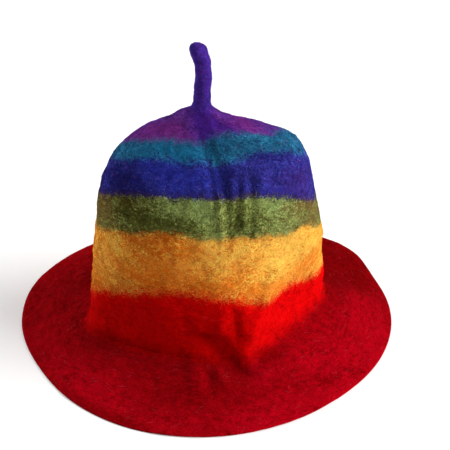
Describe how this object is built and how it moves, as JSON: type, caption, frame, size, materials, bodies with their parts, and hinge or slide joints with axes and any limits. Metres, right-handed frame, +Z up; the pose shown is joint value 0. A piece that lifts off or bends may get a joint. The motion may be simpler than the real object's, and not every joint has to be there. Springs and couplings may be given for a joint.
{
  "type": "sauna hat",
  "caption": "Wet-felted wool sauna hat: tall bell crown, wide sloping brim and a short felt stem on top, in one seamless felt dyed in rainbow bands, resting on its brim.",
  "frame": {"origin": "middle of the brim's outline on the surface that the hat rests on", "axes": "+Z up through the crown and stem, -Y the hat's front with its corner ridge, +X the hat's right side as the picture shows it"},
  "size_m": [0.341, 0.3116, 0.265],
  "materials": {
    "felt": "matt wet-felted wool, dyed in soft-edged bands of red, yellow, green, blue, teal and purple"
  },
  "bodies": {
    "root": {"felt_hat": "felt"}
  },
  "joints": []
}
